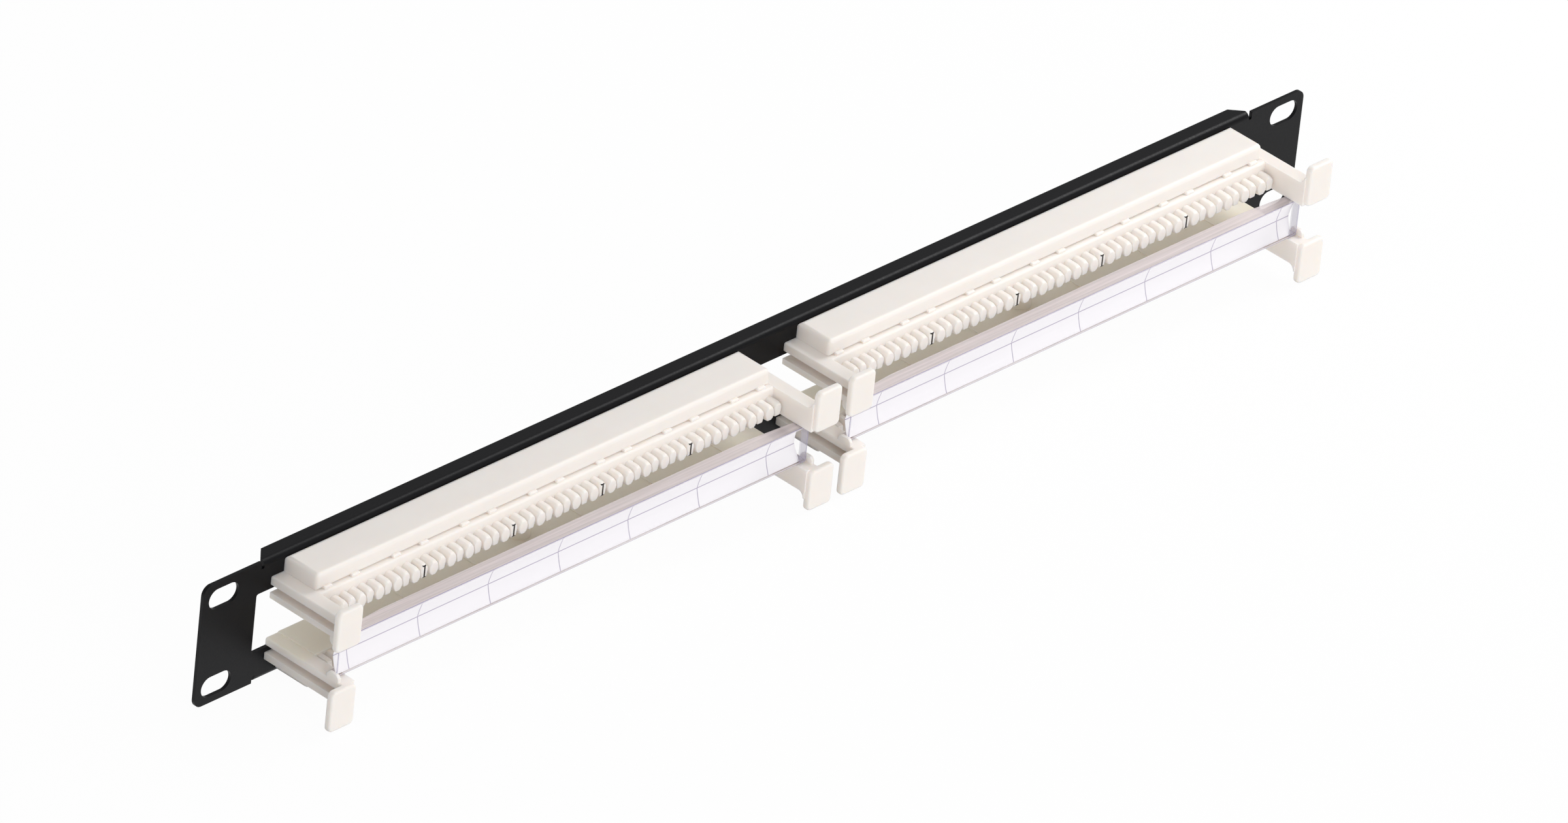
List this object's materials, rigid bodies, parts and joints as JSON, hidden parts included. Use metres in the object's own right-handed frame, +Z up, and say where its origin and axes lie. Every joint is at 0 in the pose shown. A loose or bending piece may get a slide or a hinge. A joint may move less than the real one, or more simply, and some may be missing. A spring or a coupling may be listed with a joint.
{
  "type": "punch down wiring block panel",
  "caption": "One-unit rack panel carrying two punch down wiring blocks side by side, each with facing rows of teeth, a wire trough, forward arms and a clip-in clear label holder.",
  "frame": {"origin": "centre of the rack panel's front face, midway between the rack slots", "axes": "+X along the panel to the right, -Y forward out of the panel's front, +Z up"},
  "size_m": [0.4826, 0.041, 0.0436],
  "materials": {
    "powder_coated_steel": "satin",
    "ivory_abs": "matte",
    "clear_plastic": "gloss",
    "label_paper": "matte",
    "zinc_steel": "satin"
  },
  "bodies": {
    "panel_and_blocks": {"rack_panel": "powder_coated_steel", "wiring_block_left": "ivory_abs", "wiring_block_right": "ivory_abs", "block_screws": "zinc_steel"},
    "left_label_holder": {"label_holder_left": "clear_plastic", "label_strip_left": "label_paper"},
    "right_label_holder": {"label_holder_right": "clear_plastic", "label_strip_right": "label_paper"}
  },
  "joints": [
    {"name": "left_holder_pull", "type": "slide", "parent": "panel_and_blocks", "child": "left_label_holder", "axis": [0, -1, 0], "range_m": [0, 0.02]},
    {"name": "right_holder_pull", "type": "slide", "parent": "panel_and_blocks", "child": "right_label_holder", "axis": [0, -1, 0], "range_m": [0, 0.02]}
  ]
}
